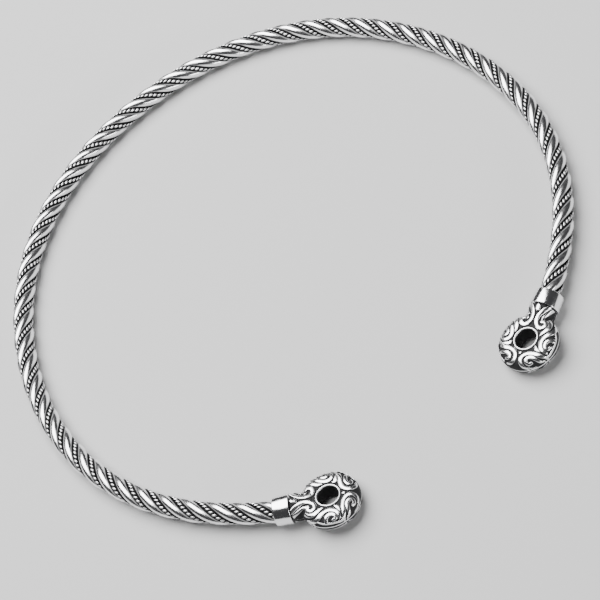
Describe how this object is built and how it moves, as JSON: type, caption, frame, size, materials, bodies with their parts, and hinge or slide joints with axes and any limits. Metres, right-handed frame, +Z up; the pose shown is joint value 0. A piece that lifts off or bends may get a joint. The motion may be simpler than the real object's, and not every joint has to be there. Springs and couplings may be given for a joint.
{
  "type": "silver neck torc",
  "caption": "Open neck ring of thick and fine silver wires twisted into a rope, with a plain collar and a scroll-carved ring terminal at each end.",
  "frame": {"origin": "on the surface the torc lies on, under the middle of its overall box", "axes": "+Z up from that surface, +Y towards the back of the hoop, -Y towards the opening between the terminals, +X to the right when seen from above with the opening towards the viewer"},
  "size_m": [0.1492, 0.1476, 0.0073],
  "materials": {
    "wire_silver": "polished silver, darkened by oxide in the valleys between the wires",
    "fine_wire_silver": "fine twisted silver wire, bright on top of the beads and black with oxide between them",
    "collar_silver": "plain polished silver with hairline scratches",
    "carved_silver": "carved silver, polished on the raised scrolls and black with oxide in the grooves"
  },
  "bodies": {
    "root": {"thick_wire_1": "wire_silver", "fine_wire_1": "fine_wire_silver", "thick_wire_2": "wire_silver", "fine_wire_2": "fine_wire_silver", "thick_wire_3": "wire_silver", "fine_wire_3": "fine_wire_silver", "left_collar": "collar_silver", "left_terminal": "carved_silver", "right_collar": "collar_silver", "right_terminal": "carved_silver"}
  },
  "joints": []
}
